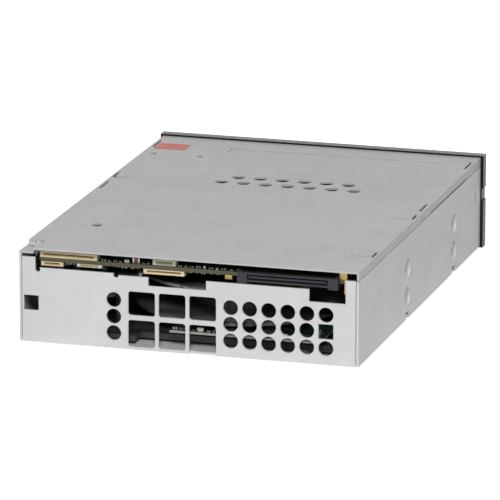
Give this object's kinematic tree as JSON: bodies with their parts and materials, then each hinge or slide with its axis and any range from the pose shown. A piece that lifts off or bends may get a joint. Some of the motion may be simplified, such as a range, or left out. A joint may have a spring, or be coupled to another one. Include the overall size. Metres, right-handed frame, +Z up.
{
  "type": "internal data tape drive",
  "caption": "Half-height internal tape drive: sheet-metal case with vented rear panel, hinged cartridge door, loader, reels, guide rollers, head lift and threading arm.",
  "frame": {"origin": "under the middle of the drive, level with the lowest edge of the bezel", "axes": "+X to the left when seen from behind, -Y towards the front bezel, +Y towards the rear connector panel, +Z up"},
  "size_m": [0.1486, 0.2128, 0.0416],
  "materials": {
    "zinc_sheet": "satin zinc-plated sheet",
    "fastener_steel": "plated",
    "bezel_plastic": "fine textured moulding",
    "lamp_clear": "clear moulded",
    "board_green": "solder-masked laminate",
    "chip_black": "moulded packages",
    "socket_cream": "moulded",
    "host_black": "moulded",
    "clip_brass": "thin spring sheet",
    "label_red": "plain vinyl",
    "deck_casting": "die-cast",
    "loader_steel": "pressed sheet",
    "holder_steel": "pressed sheet",
    "pin_steel": "ground pins",
    "gear_plastic": "moulded acetal",
    "motor_can": "drawn can",
    "motor_coil": "coated stack",
    "reel_smoke": "smoked moulding",
    "hub_black": "moulded",
    "roller_white": "moulded",
    "head_metal": "lapped face",
    "arm_metal": "anodised"
  },
  "bodies": {
    "frame": {"chassis_tray": "zinc_sheet", "top_cover": "zinc_sheet", "cover_screw": "fastener_steel", "label": "label_red", "bezel": "bezel_plastic", "door_pin": "pin_steel", "eject_switch": "chip_black", "light_pipes": "lamp_clear", "front_board": "board_green", "base_deck": "deck_casting", "machine_screws": "fastener_steel", "loader_plate_left": "loader_steel", "loader_plate_right": "loader_steel", "idler_shaft": "pin_steel", "loader_motor": "motor_can", "motor_mount": "hub_black", "supply_stator": "motor_coil", "takeup_stator": "motor_coil", "roller_posts": "pin_steel", "head_base": "deck_casting", "head_top_plate": "loader_steel", "head_rods": "pin_steel", "head_motor": "motor_can", "threader_motor": "motor_can", "main_board": "board_green", "motor_board": "board_green", "board_standoffs": "pin_steel", "host_connector": "host_black", "ribbon_sockets": "socket_cream", "board_chips": "chip_black", "ground_clip": "clip_brass"},
    "door": {"door_flap": "bezel_plastic", "door_spring": "pin_steel"},
    "button": {"eject_button": "bezel_plastic"},
    "plunger": {"switch_plunger": "chip_black"},
    "shuttle_frame": {"shuttle": "loader_steel", "shuttle_pins": "pin_steel"},
    "idler": {"idler_gear": "gear_plastic"},
    "motor_rotor": {"motor_pinion": "pin_steel"},
    "cams": {"cam_slider": "loader_steel"},
    "holder": {"carriage": "holder_steel", "carriage_pins": "pin_steel"},
    "supply": {"supply_hub": "hub_black"},
    "takeup": {"takeup_rotor": "motor_can", "takeup_reel": "reel_smoke", "reel_top_flange": "reel_smoke", "reel_screws": "fastener_steel"},
    "roller_1": {"guide_roller_1": "roller_white"},
    "roller_2": {"guide_roller_2": "roller_white"},
    "roller_3": {"guide_roller_3": "roller_white"},
    "roller_4": {"guide_roller_4": "roller_white"},
    "head": {"head_carriage": "arm_metal", "tape_head": "head_metal"},
    "head_drive": {"head_screw": "pin_steel"},
    "arm": {"threader_arm": "arm_metal"},
    "link": {"threader_link": "arm_metal"},
    "arm_rotor": {"threader_pinion": "pin_steel"}
  },
  "joints": [
    {"name": "door_hinge", "type": "hinge", "parent": "frame", "child": "door", "pos_m": [0, -0.1024, 0.0372], "axis": [1, 0, 0], "range_deg": [0, 90], "stiffness_Nm_per_rad": 0.0015, "springref_deg": -5.73},
    {"name": "button_press", "type": "slide", "parent": "frame", "child": "button", "axis": [0, 1, 0], "range_m": [0, 0.0008], "stiffness_N_per_m": 600},
    {"name": "plunger_press", "type": "slide", "parent": "frame", "child": "plunger", "axis": [0, 1, 0], "range_m": [0, 0.0009]},
    {"name": "shuttle_slide", "type": "slide", "parent": "frame", "child": "shuttle_frame", "axis": [0, 1, 0], "range_m": [0, 0.02]},
    {"name": "idler_spin", "type": "hinge", "parent": "frame", "child": "idler", "pos_m": [-0.066, 0.002, 0.0186], "axis": [-1, 0, 0], "range_deg": [0, 245]},
    {"name": "motor_spin", "type": "hinge", "parent": "frame", "child": "motor_rotor", "pos_m": [-0.066, 0.01683, 0.0126], "axis": [-1, 0, 0], "range_deg": [-735, 0]},
    {"name": "cam_slide", "type": "slide", "parent": "shuttle_frame", "child": "cams", "axis": [0, 1, 0], "range_m": [0, 0.01]},
    {"name": "holder_drop", "type": "slide", "parent": "shuttle_frame", "child": "holder", "axis": [0, 0, -1], "range_m": [0, 0.004]},
    {"name": "supply_spin", "type": "hinge", "parent": "frame", "child": "supply", "pos_m": [0, -0.045, 0.0054], "axis": [0, 0, 1], "continuous": true},
    {"name": "takeup_spin", "type": "hinge", "parent": "frame", "child": "takeup", "pos_m": [-0.01, 0.056, 0.0054], "axis": [0, 0, 1], "continuous": true},
    {"name": "roller_1_spin", "type": "hinge", "parent": "frame", "child": "roller_1", "pos_m": [0.049, 0.0142, 0.0118], "axis": [0, 0, 1], "continuous": true},
    {"name": "roller_2_spin", "type": "hinge", "parent": "frame", "child": "roller_2", "pos_m": [0.057, 0.0255, 0.0118], "axis": [0, 0, 1], "continuous": true},
    {"name": "roller_3_spin", "type": "hinge", "parent": "frame", "child": "roller_3", "pos_m": [0.057, 0.0515, 0.0118], "axis": [0, 0, 1], "continuous": true},
    {"name": "roller_4_spin", "type": "hinge", "parent": "frame", "child": "roller_4", "pos_m": [0.049, 0.064, 0.0118], "axis": [0, 0, 1], "continuous": true},
    {"name": "head_lift", "type": "slide", "parent": "frame", "child": "head", "axis": [0, 0, 1], "range_m": [-0.0045, 0.0045]},
    {"name": "head_screw_spin", "type": "hinge", "parent": "frame", "child": "head_drive", "pos_m": [0.0615, 0.0385, 0.0076], "axis": [0, 0, 1], "range_deg": [-1100, 1100]},
    {"name": "arm_swing", "type": "hinge", "parent": "frame", "child": "arm", "pos_m": [0.032, 0.0955, 0.0286], "axis": [0, 0, -1], "range_deg": [0, 20.4]},
    {"name": "link_swing", "type": "hinge", "parent": "arm", "child": "link", "pos_m": [0.05585, 0.0516, 0.0304], "axis": [0, 0, -1], "range_deg": [0, 68]},
    {"name": "arm_motor_spin", "type": "hinge", "parent": "frame", "child": "arm_rotor", "pos_m": [0.044, 0.0955, 0.0286], "axis": [0, 0, -1], "range_deg": [-41, 0]}
  ],
  "couplings": [
    {"joint": "plunger_press", "follows": "button_press", "ratio": 1},
    {"joint": "idler_spin", "follows": "shuttle_slide", "rad_per_m": 208.33},
    {"joint": "motor_spin", "follows": "shuttle_slide", "rad_per_m": -625},
    {"joint": "holder_drop", "follows": "cam_slide", "ratio": 0.4},
    {"joint": "head_screw_spin", "follows": "head_lift", "rad_per_m": 4188.8},
    {"joint": "link_swing", "follows": "arm_swing", "ratio": 3.3},
    {"joint": "arm_motor_spin", "follows": "arm_swing", "ratio": -2}
  ]
}
